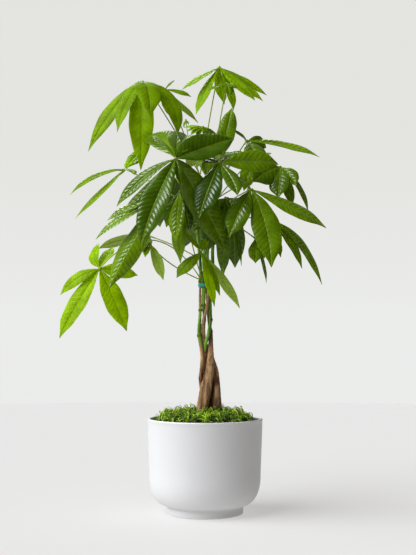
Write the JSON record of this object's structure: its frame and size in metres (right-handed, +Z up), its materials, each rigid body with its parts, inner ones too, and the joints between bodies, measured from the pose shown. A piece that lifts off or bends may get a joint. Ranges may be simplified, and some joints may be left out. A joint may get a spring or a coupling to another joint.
{
  "type": "potted money tree",
  "caption": "Potted money tree: slender braided stems with palmate glossy leaves, rising from moss over soil in a round matte white ceramic pot.",
  "frame": {"origin": "centre of the pot's flat underside, where it stands", "axes": "+Z up along the stems, -Y towards the front of the tree, +X to the right seen from the front"},
  "size_m": [0.372, 0.2713, 0.6488],
  "materials": {
    "glazed_white": "matte white glaze",
    "soil_dark": "dark damp potting mix",
    "moss_green": "bright green moss",
    "bark_brown": "brown bark, greener above",
    "tie_teal": "teal garden tape",
    "leaf_young_green": "fresh yellow-green leaf",
    "leaf_dark_green": "glossy dark green leaf"
  },
  "bodies": {
    "root": {"pot": "glazed_white", "soil": "soil_dark", "moss": "moss_green", "stem_centre": "bark_brown", "stem_left": "bark_brown", "stem_right": "bark_brown", "stem_back_left": "bark_brown", "stem_back_right": "bark_brown", "tie": "tie_teal", "leaf_top_left": "leaf_young_green", "leaf_top_left_back": "leaf_young_green", "leaf_top": "leaf_young_green", "leaf_top_young": "leaf_young_green", "leaf_young": "leaf_young_green", "leaf_bud": "leaf_young_green", "leaf_front": "leaf_dark_green", "leaf_front_low": "leaf_dark_green", "leaf_front_right": "leaf_dark_green", "leaf_right": "leaf_dark_green", "leaf_left": "leaf_young_green", "leaf_low_left": "leaf_young_green", "leaf_mid_left": "leaf_dark_green", "leaf_small_low": "leaf_young_green", "leaf_low_centre": "leaf_young_green", "leaf_low_right": "leaf_dark_green", "leaf_small_right": "leaf_dark_green", "leaf_upper_right": "leaf_dark_green", "leaf_right_back": "leaf_dark_green", "leaf_upper_front": "leaf_dark_green", "leaf_far_right": "leaf_dark_green", "leaf_inner_right": "leaf_dark_green", "leaf_inner": "leaf_dark_green", "leaf_back_low_left": "leaf_dark_green", "leaf_back_left": "leaf_dark_green", "leaf_back_right": "leaf_dark_green", "leaf_back_low": "leaf_dark_green", "leaf_back_far_left": "leaf_dark_green", "leaf_back_upper": "leaf_dark_green"}
  },
  "joints": []
}
